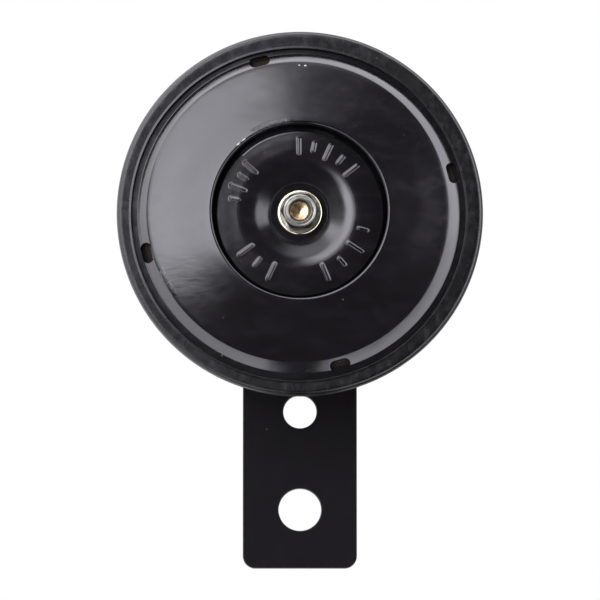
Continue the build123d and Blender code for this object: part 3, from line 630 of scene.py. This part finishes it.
def threaded_rod(name, mat, major, pitch, depth, a0, a1, cx=0.0, cz=0.0, cap0=0.45, cap1=0.45, slot=None, n=72, extra0=(), extra1=()):
    """Rod along the horn axis direction from a0 to a1 with a helical thread; chamfered ends.

    slot is (half width, depth, angle, end) for a screwdriver slot cut in one end.
    extra0 and extra1 are plain (r, a) profile points before a0 and after a1.
    """
    t = np.arange(n) / n
    rings = []
    step = pitch / 8
    count = max(2, math.ceil((a1 - a0) / step))
    for r, a in extra0:
        rings.append(ring(r, a, n, cx, cz) if r > 0 else np.array([[cx, LIP_Y + a, AXIS_Z + cz]]))
    if not extra0:
        for f in (0.0, 0.35, 0.7):
            rr = (major - cap0) * f
            rings.append(ring(rr, a0, n, cx, cz) if rr > 0 else np.array([[cx, LIP_Y + a0, AXIS_Z + cz]]))
    for i in range(count + 1):
        a = a0 + (a1 - a0) * i / count
        r = major - depth + depth * thread_wave(a / pitch + t)
        if cap0:
            r = np.minimum(r, major - cap0 + (a - a0))
        if cap1:
            r = np.minimum(r, major - cap1 + (a1 - a))
        rings.append(ring(r, a, n, cx, cz))
    if not extra1:
        for f in (0.7, 0.35, 0.0):
            rr = (major - cap1) * f
            rings.append(ring(rr, a1, n, cx, cz) if rr > 0 else np.array([[cx, LIP_Y + a1, AXIS_Z + cz]]))
    for r, a in extra1:
        rings.append(ring(r, a, n, cx, cz) if r > 0 else np.array([[cx, LIP_Y + a, AXIS_Z + cz]]))
    verts, faces = from_rings(rings[::-1], closed=False)
    ob = mesh_object(name, verts, faces, mat, 28)
    if slot:
        w, deep, angle, end = slot
        e = a0 if end == 0 else a1
        lo, hi = (e - 1.0, e + deep) if end == 0 else (e - deep, e + 1.0)
        cvs = []
        for a in (lo, hi):
            for sx, sz in ((-w, -major * 2), (w, -major * 2), (w, major * 2), (-w, major * 2)):
                x = sx * math.cos(angle) - sz * math.sin(angle)
                z = sx * math.sin(angle) + sz * math.cos(angle)
                cvs.append((cx + x, LIP_Y + a, AXIS_Z + cz + z))
        cfs = [(0, 1, 2, 3), (7, 6, 5, 4), (0, 4, 5, 1), (1, 5, 6, 2), (2, 6, 7, 3), (3, 7, 4, 0)]
        box = mesh_object(name + "_cut", cvs, cfs, mat)
        md = ob.modifiers.new("slot", "BOOLEAN")
        md.operation, md.object, md.solver = "DIFFERENCE", box, "EXACT"
        me = bpy.data.meshes.new_from_object(ob.evaluated_get(bpy.context.evaluated_depsgraph_get()))
        ob.modifiers.clear()
        ob.data = me
        me.polygons.foreach_set("use_smooth", [True] * len(me.polygons))
        me.set_sharp_from_angle(angle=math.radians(28))
        bpy.data.objects.remove(box)
    return ob


STUD_END = -3.15
armature = threaded_rod(
    "armature_plunger", YELLOW, 2.0, 0.7, 0.40, STUD_END, 2.6, cap0=0.22, cap1=0.0, n=96,
    extra0=((0, STUD_END + 0.52), (0.12, STUD_END + 0.5), (0.22, STUD_END + 0.30), (0.55, STUD_END + 0.19), (1.0, STUD_END + 0.11), (1.45, STUD_END + 0.03), (1.62, STUD_END + 0.005), (1.74, STUD_END)),
    extra1=((2.0, 2.7), (2.0, 3.96), (2.15, 4.0), (4.85, 4.0), (5.0, 4.15), (5.0, 5.35), (5.1, 5.5), (8.6, 5.5), (8.9, 5.6), (9.0, 5.85),
            (9.0, 6.75), (8.9, 7.0), (8.6, 7.1), (6.1, 7.1), (6.0, 7.25), (6.0, 11.15), (5.88, 11.48), (5.6, 11.6), (2.0, 11.6), (0, 11.6)),
)
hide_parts("armature")
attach(armature, MOVING)

core = threaded_rod(
    "fixed_core_stud", ZINC, 3.0, 1.0, 0.58, 24.6, 35.2, cap0=0.0, cap1=0.7, n=96,
    extra0=((0, 12.3), (6.1, 12.3), (6.4, 12.4), (6.5, 12.7), (6.5, 24.2), (3.0, 24.2), (3.0, 24.5)),
)
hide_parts("fixed_core")
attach(core, HORN)

adjuster = threaded_rod("adjusting_screw_body", ZINC, 2.0, 0.7, 0.40, 6.4, 25.6, cx=15.0, cz=-12.5, cap0=0.4, cap1=0.4, slot=(0.4, 1.0, math.radians(125), 1))
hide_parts("adjusting_screw")
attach(adjuster, HORN)


def hexnut(name, mat, flats, a0, a1, bore, turn, cx=0.0, cz=0.0, crown0=0.35, crown1=0.35, sink0=0.4, sink1=0.3, pitch=0.7, slope=0.55):
    """Hexagon nut between a0 (front) and a1 (rear): rounded corners, crowns, countersinks and a plain bore."""
    n = 192
    t = np.arange(n) * (TAU / n)
    d = (np.degrees(t) - turn + 30) % 60 - 30
    hexr = np.minimum(flats / 2 / np.cos(np.radians(d)), flats / 2 / math.cos(math.radians(30)) - 0.10)
    flat = flats / 2
    rings = []

    def side(a_face, sgn, crown, sink):
        """Rings from the bore out to the hexagon, at one end."""
        out = [ring(bore, a_face + sgn * sink, n, cx, cz), ring(bore + sink * 0.5, a_face + sgn * sink * 0.5, n, cx, cz), ring(bore + sink, a_face, n, cx, cz)]
        r0 = flat - crown
        out.append(ring((bore + sink + r0) / 2, a_face, n, cx, cz))
        out.append(ring(r0 - 0.12, a_face, n, cx, cz))
        out.append(ring(r0, a_face + sgn * 0.015, n, cx, cz))
        for f in (0.25, 0.5, 0.75, 0.93, 1.0):
            r = r0 + (hexr - r0) * f
            out.append(ring(r, a_face + sgn * ((r - r0) * (slope or 0.55) + 0.015 + 0.05 * f ** 6), n, cx, cz))
        return out

    def turned_side(a_face):
        """The face of the small nut: countersink, narrow land, then a crown that rolls over into a steep cone."""
        path = rounded([(bore, a_face + 0.34), (bore + 0.24, a_face), (2.56, a_face + 0.03), (2.70, a_face + 0.17), (2.84, a_face + 0.13), (3.10, a_face + 0.25), (3.23, a_face + 0.52)], (0.05, 0.04, 0.03, 0.05, 0.10), 0.06)
        out = [ring(np.minimum(r, hexr), a, n, cx, cz) for r, a in path]
        for f in (0.3, 0.6, 0.85, 1.0):
            r = 3.23 + (np.maximum(hexr, 3.24) - 3.23) * f
            out.append(ring(np.minimum(r, hexr), a_face + 0.52 + (r - 3.23) * 1.9 + 0.05 * f ** 6, n, cx, cz))
        return out

    rings += turned_side(a0) if slope is None else side(a0, 1, crown0, sink0)
    rings.append(ring(hexr, (a0 + a1) / 2, n, cx, cz))
    rings += side(a1, -1, crown1, sink1)[::-1]
    # plain bore, rear to front
    steps = max(6, int((a1 - a0 - sink0 - sink1) / (pitch / 8)))
    tt = np.arange(n) / n
    for i in range(1, steps):
        a = a1 - sink1 - (a1 - a0 - sink0 - sink1) * i / steps
        rings.append(ring(bore - 0.28 * thread_wave(a / pitch + tt) * min(1, i / 6, (steps - i) / 6) * 0.0, a, n, cx, cz))
    verts, faces = from_rings(rings[::-1])
    return mesh_object(name, verts, faces, mat, 24)


nut = hexnut("front_hex_nut", NUT_ZINC, 6.5, -4.0, -0.8, 2.02, 30, crown1=0.2, sink0=0.34, slope=None)
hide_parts("front_nut")
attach(nut, MOVING)

lock = hexnut("adjuster_lock_nut", ZINC, 7.0, 21.0, 23.4, 2.02, 10, cx=15.0, cz=-12.5)
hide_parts("adjuster_locknut")
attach(lock, HORN)

rear_nut = hexnut("bracket_hex_nut", ZINC, 10.0, 28.6, 33.6, 3.02, 0, crown0=0.3, crown1=0.3, pitch=1.0)
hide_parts("bracket_nut")
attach(rear_nut, HORN)

washer_profile = [(2.15, -0.76), (2.2, -0.8), (3.84, -0.8), (4.0, -0.79), (4.14, -0.74), (4.24, -0.65), (4.29, -0.52), (4.3, -0.40), (4.3, -0.30), (4.27, -0.18), (4.18, -0.07), (4.05, -0.01), (3.9, 0.0), (2.2, 0.0), (2.15, -0.04)]
washer = lathe("front_plain_washer", washer_profile, ZINC_WARM, 180, sharp=40)
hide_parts("front_washer")
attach(washer, MOVING)

# split spring washer: one turn, its ends offset along the axis
n = 150
gap = math.radians(10)
start = math.radians(12) + gap / 2
sw_v, sw_f = [], []
section = [(3.2, -0.55), (3.35, -0.68), (5.35, -0.68), (5.55, -0.5), (5.55, 0.5), (5.35, 0.68), (3.35, 0.68), (3.2, 0.55)]
for i in range(n + 1):
    f = i / n
    w = start + (TAU - gap) * f
    lift = 27.8 + 0.11 * (f - 0.5) * 2
    for r, da in section:
        sw_v.append((r * math.cos(w), LIP_Y + lift + da, AXIS_Z + r * math.sin(w)))
m = len(section)
for i in range(n):
    for k in range(m):
        sw_f.append((i * m + k, i * m + (k + 1) % m, (i + 1) * m + (k + 1) % m, (i + 1) * m + k))
sw_f.append([k for k in range(m)][::-1])
sw_f.append([n * m + k for k in range(m)])
sw_f = [tuple(reversed(f)) for f in sw_f]
spring = mesh_object("split_spring_washer", sw_v, sw_f, STEEL, 30)
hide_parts("spring_washer")
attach(spring, HORN)


# ------------------------------------------------------------------ stamped and moulded parts
def plate_from_outline(name, mat, loops, thick, bevel, place, sharp=30):
    """Flat stamped piece: closed loops of (u, v) in mm, the first the outside; place maps (u, v, w) to the row frame."""
    cu = bpy.data.curves.new(name, "CURVE")
    cu.dimensions, cu.fill_mode = "2D", "BOTH"
    cu.extrude, cu.bevel_depth, cu.bevel_resolution, cu.offset = (thick / 2 - bevel) * MM, bevel * MM, 2, -bevel * MM
    for pts in loops:
        sp = cu.splines.new("POLY")
        sp.points.add(len(pts) - 1)
        for q, (u, v) in zip(sp.points, pts):
            q.co = (u * MM, v * MM, 0, 1)
        sp.use_cyclic_u = True
    tmp = bpy.data.objects.new(name + "_line", cu)
    bpy.context.collection.objects.link(tmp)
    me = bpy.data.meshes.new_from_object(tmp.evaluated_get(bpy.context.evaluated_depsgraph_get()))
    bpy.data.objects.remove(tmp)
    co = np.empty(len(me.vertices) * 3)
    me.vertices.foreach_get("co", co)
    co = co.reshape(-1, 3) / MM
    out = np.array([place(*p) for p in co]) * MM
    me.vertices.foreach_set("co", out.reshape(-1))
    me.name = name
    me.materials.clear()
    me.materials.append(mat)
    me.polygons.foreach_set("use_smooth", [True] * len(me.polygons))
    me.set_sharp_from_angle(angle=math.radians(sharp))
    me.update()
    ob = bpy.data.objects.new(name, me)
    bpy.context.collection.objects.link(ob)
    return ob


def round_rect(cx, cy, w, h, r, n=14):
    pts = []
    for qx, qy, a0 in ((1, 1, 0), (-1, 1, 90), (-1, -1, 180), (1, -1, 270)):
        for k in range(n + 1):
            a = math.radians(a0 + 90 * k / n)
            pts.append((cx + qx * (w / 2 - r) + r * math.cos(a), cy + qy * (h / 2 - r) + r * math.sin(a)))
    return pts


def circle(cx, cy, r, n=96):
    return [(cx + r * math.cos(TAU * k / n), cy + r * math.sin(TAU * k / n)) for k in range(n)]


top, bottom = AXIS_Z + 11.0, -11.3
bracket = plate_from_outline(
    "flat_bracket", SATIN,
    [round_rect(0, (top + bottom) / 2, 22.0, top - bottom, 2.4), circle(0, 0, 4.1, 128), circle(0, 18.95, 3.2, 112), circle(0, AXIS_Z, 3.2, 96)],
    2.0, 0.16, lambda u, v, w: (u, -1.0 - w, v),
)
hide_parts("mounting_bracket")
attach(bracket, HORN)

block = plate_from_outline("terminal_block_base", MOULDING, [round_rect(0, 17.5, 21.0, 7.2, 1.6)], 3.0, 0.3, lambda u, v, w: (u, LIP_Y + 22.5 - w, AXIS_Z + v))
rib = plate_from_outline("terminal_block_rib", MOULDING, [round_rect(0, 17.5, 1.6, 7.2, 0.5, 8)], 3.7, 0.25, lambda u, v, w: (u, LIP_Y + 25.65 - w, AXIS_Z + v))
for ob in (block, rib):
    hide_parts("terminal_block")
    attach(ob, HORN)


def bent_terminal(name, node, x):
    """Blade terminal: foot on the block, bend, blade rearward with chamfered tip and hole."""
    w, t_, foot_a, tip_a = 3.15, 0.8, 24.0, 33.0
    lo_z = 17.5 - 3.2
    # centreline in (a, z): foot along z, bend, blade along a
    path = [(foot_a + t_ / 2, lo_z)]
    path += [(foot_a + t_ / 2, 17.5 + 3.2 - t_ / 2 - 0.6)]
    bend = []
    for k in range(9):
        q = math.pi / 2 * k / 8
        bend.append((foot_a + t_ / 2 + 0.6 - 0.6 * math.cos(q), 17.5 + 3.2 - t_ / 2 - 0.6 + 0.6 * math.sin(q)))
    path += bend[1:]
    blade_z = 17.5 + 3.2 - t_ / 2
    start_a = path[-1][0]
    # straight foot and bend as a swept strip
    vs, fs = [], []
    line_ = offset(path, t_ / 2), offset(path, -t_ / 2)
    e = 0.06
    for i in range(len(path)):
        (oa, oz), (ia, iz) = line_[0][i], line_[1][i]
        da, dz = (ia - oa) / t_ * e, (iz - oz) / t_ * e
        for xx, pa, pz in ((-w, oa + da, oz + dz), (-w + e, oa, oz), (w - e, oa, oz), (w, oa + da, oz + dz), (w, ia - da, iz - dz), (w - e, ia, iz), (-w + e, ia, iz), (-w, ia - da, iz - dz)):
            vs.append((x + xx, LIP_Y + pa, AXIS_Z + pz))
    for i in range(len(path) - 1):
        for k in range(8):
            fs.append((i * 8 + k, i * 8 + (k + 1) % 8, (i + 1) * 8 + (k + 1) % 8, (i + 1) * 8 + k))
    fs.append(tuple(range(8))[::-1])
    last = (len(path) - 1) * 8
    fs.append(tuple(last + k for k in range(8)))
    foot = mesh_object(name + "_foot", vs, fs, BRASS, 30)
    me = foot.data
    # blade
    pts = [(-w, start_a - 0.02), (w, start_a - 0.02), (w, tip_a - 1.4), (w - 1.1, tip_a), (-w + 1.1, tip_a), (-w, tip_a - 1.4)]
    blade = plate_from_outline(name + "_blade", BRASS, [pts, circle(0, tip_a - 3.6, 0.85, 40)], t_, 0.12, lambda u, v, w_: (x + u, LIP_Y + v, AXIS_Z + blade_z + w_))
    for ob in (foot, blade):
        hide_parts(node)
        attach(ob, HORN)


bent_terminal("left_blade_terminal", "left_terminal", -5.5)
bent_terminal("right_blade_terminal", "right_terminal", 5.5)

for side, x in (("left", -5.5), ("right", 5.5)):
    prof = [(0, 25.4), (0.6, 25.38), (1.1, 25.3), (1.6, 25.12), (1.95, 24.95), (2.1, 24.86), (2.1, 24.8), (1.5, 24.8), (1.5, 18.8), (2.05, 18.8), (2.05, 18.3), (1.6, 18.02), (0, 17.9)]
    rv = lathe(f"{side}_terminal_rivet", prof, BRASS, 64, cx=x, cz=17.5, sharp=40)
    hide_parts("terminal_rivets")
    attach(rv, HORN)

# ------------------------------------------------------------------ finishes of the nodes kept from the frame
FINISH = {
    "front_gasket": GASKET, "rear_gasket": GASKET, "backing_washer": ZINC, "spacer_sleeve": ZINC,
    "bobbin": NYLON, "coil_winding": WINDING, "yoke_plate": ZINC, "contact_leaf": STEEL,
    "moving_contact": CONTACT, "fixed_contact": CONTACT, "contact_strip": BRASS, "base_insulator": PHENOLIC,
    "middle_insulator": PHENOLIC, "top_insulator": PHENOLIC, "inner_insulator": PHENOLIC, "breaker_rivets": BRASS,
    "adjuster_insert": ZINC, "terminal_lead": SLEEVE,
}
for name, mat in FINISH.items():
    me = NODES[name].data
    if len(me.materials):
        for i in range(len(me.materials)):
            me.materials[i] = mat
    else:
        me.materials.append(mat)

# the breaker's leaf, copied and cut across at fifteen heights; in the horn its upper tab is pushed back by the
# armature's collar and its lower strip stays clamped
leaf = bpy.data.objects.new("breaker_leaf", NODES["contact_leaf"].data.copy())
bpy.context.collection.objects.link(leaf)
cuts = bmesh.new()
cuts.from_mesh(leaf.data)
for k in range(15):
    bmesh.ops.bisect_plane(
        cuts, geom=cuts.verts[:] + cuts.edges[:] + cuts.faces[:], plane_co=(0, 0, (AXIS_Z - 14.7 + 0.5 * k) * MM), plane_no=(0, 0, 1),
    )
cuts.to_mesh(leaf.data)
cuts.free()
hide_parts("contact_leaf")
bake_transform(leaf)

# ------------------------------------------------------------------ camera
ELEV = math.radians(6.0)                      # the view is from slightly below
towards = Vector((0.0, -math.cos(ELEV), -math.sin(ELEV)))
target = Vector((0.00003, -0.025, 0.03821))
cam_data = bpy.data.cameras.new("camera")
cam_data.sensor_width = 36.0
cam_data.lens = 437.0 * 2.0 / 1.4 * 1.0065
cam_data.clip_start, cam_data.clip_end = 0.05, 50.0
cam = bpy.data.objects.new("camera", cam_data)
bpy.context.collection.objects.link(cam)
cam.location = target + towards * 2.0
cam.rotation_euler = (-towards).to_track_quat("-Z", "Y").to_euler()
bpy.context.scene.camera = cam

# ------------------------------------------------------------------ floor
me = bpy.data.meshes.new("floor")
me.from_pydata([(-4, -4, -3.3), (4, -4, -3.3), (4, 4, -3.3), (-4, 4, -3.3)], [], [(0, 1, 2, 3)])
floor = bpy.data.objects.new("floor", me)
bpy.context.collection.objects.link(floor)
fm, fg, fb, fw = material("pale_floor")
fb.inputs["Base Color"].default_value = rgb(0.8, 0.8, 0.8)
fb.inputs["Roughness"].default_value = 0.9
me.materials.append(fm)
floor.visible_glossy = False

# ------------------------------------------------------------------ studio light: soft boxes painted on the sky
world = bpy.data.worlds.new("studio")
bpy.context.scene.world = world
world.use_nodes = True
g = Graph(world.node_tree)
g.n.clear()
direction = g.new("ShaderNodeTexCoord").outputs["Generated"]
C, S = math.cos(ELEV), math.sin(ELEV)
p = g.dot(direction, (0.0, -C, -S))          # 1 straight out of the horn's face
u = g.dot(direction, (1.0, 0.0, 0.0))
v = g.dot(direction, (0.0, -S, C))


near = g.math("MAXIMUM", p, 0.05)
X, Z = g.math("DIVIDE", u, near), g.math("DIVIDE", v, near)


def edge(nx, nz, c, outer, inner):
    """Smooth from 0 to 1 as nx X + nz Z - c goes from outer to inner."""
    s = g.math("ADD", g.math("MULTIPLY", X, nx), g.math("MULTIPLY", Z, nz))
    return g.window(s, c + outer, c + inner)


def either(a, b):
    return g.math("MAXIMUM", a, b)


facing_us = g.window(p, 0.10, 0.25)
from_axis = g.math("SQRT", g.math("ADD", g.mul(X, X), g.mul(Z, Z)))
main = g.mul(                                                       # main box, left and above
    edge(0, 1, -0.10, -0.17, 0.17),
    either(edge(0.958, 0.287, -0.805, -0.10, 0.10), edge(0.614, 0.789, -0.171, -0.12, 0.12)),
    edge(0, -1, -1.17, -0.13, 0.13),
    edge(-1, 0, 0.11, -0.16, 0.13),
    either(edge(-1, 0, 0.29, -0.12, 0.12), edge(0, 1, 0.50, -0.12, 0.12)),
    facing_us,
)
light = g.mul(main, g.window(from_axis, 0.6, 1.15, 8.3, 5.9))
right_box = g.mul(edge(1, 0, 1.02, -0.05, 0.05), edge(-1, 0, -1.38, -0.10, 0.10), edge(0, 1, -0.30, -0.12, 0.12), edge(0, -1, -0.72, -0.10, 0.10), facing_us, 5.3)
light = g.math("ADD", light, right_box)
far_right = g.mul(edge(1, 0, 1.30, -0.12, 0.12), edge(0, 1, 0.05, -0.2, 0.2), edge(0, -1, -1.3, -0.2, 0.2), facing_us, 1.1)
light = g.math("ADD", light, far_right)
above = g.mul(g.window(Z, 0.90, 1.60), edge(-1, 0, -0.35, -0.60, 0.50), edge(1, 0, -1.4, -0.2, 0.2), facing_us, 2.3)
light = g.math("ADD", light, above)
left_glow = g.mul(edge(-1, 0, 1.05, -0.1, 0.25), edge(0, 1, -0.10, -0.3, 0.4), facing_us, 0.5)
light = g.math("ADD", light, left_glow)
# ring of light all round the horn, low over its face, with one gap underneath
turned = g.math("ADD", g.math("MULTIPLY", p, math.cos(2 * ELEV)), g.math("MULTIPLY", v, math.sin(2 * ELEV)))
gap = g.mul(g.window(g.math("ABSOLUTE", g.math("SUBTRACT", u, 0.0)), 0.20, 0.12), g.window(v, -0.4, -0.6))
ring_light = g.mul(g.window(turned, 0.57, 0.48), g.window(turned, 0.15, 0.23), g.math("SUBTRACT", 1.0, gap), g.window(v, -0.8, 0.6, 4.5, 6.7), g.window(u, -0.75, -0.05, 0.80, 1.0))
light = g.math("ADD", light, ring_light)
side = g.math("ADD", g.math("MULTIPLY", g.window(u, 0.1, -0.75), 2.2), g.math("MULTIPLY", g.window(v, 0.2, 0.9), 1.5))
side = g.math("ADD", side, g.math("MULTIPLY", g.window(u, 0.3, 0.9), 0.45))
side = g.mul(side, g.window(p, 0.22, 0.02), g.window(p, -0.98, -0.45, 0.25, 1.0))
light = g.math("ADD", light, side)
light = g.math("ADD", light, g.window(p, -0.1, -0.9, 0.0, 0.75))                        # room behind
light = g.math("ADD", light, 0.05)

shade = g.new("ShaderNodeBackground")
g.put(shade.inputs["Strength"], light)
shade.inputs["Color"].default_value = (1, 1, 1, 1)
seen = g.new("ShaderNodeBackground")
seen.inputs["Color"].default_value = (1, 1, 1, 1)
seen.inputs["Strength"].default_value = 1.0
pick = g.new("ShaderNodeMixShader")
g.l.new(g.new("ShaderNodeLightPath").outputs["Is Camera Ray"], pick.inputs[0])
g.l.new(shade.outputs[0], pick.inputs[1])
g.l.new(seen.outputs[0], pick.inputs[2])
out = g.new("ShaderNodeOutputWorld")
g.l.new(pick.outputs[0], out.inputs[0])

bpy.context.scene.view_settings.view_transform = "Standard"
bpy.context.scene.view_settings.look = "None"
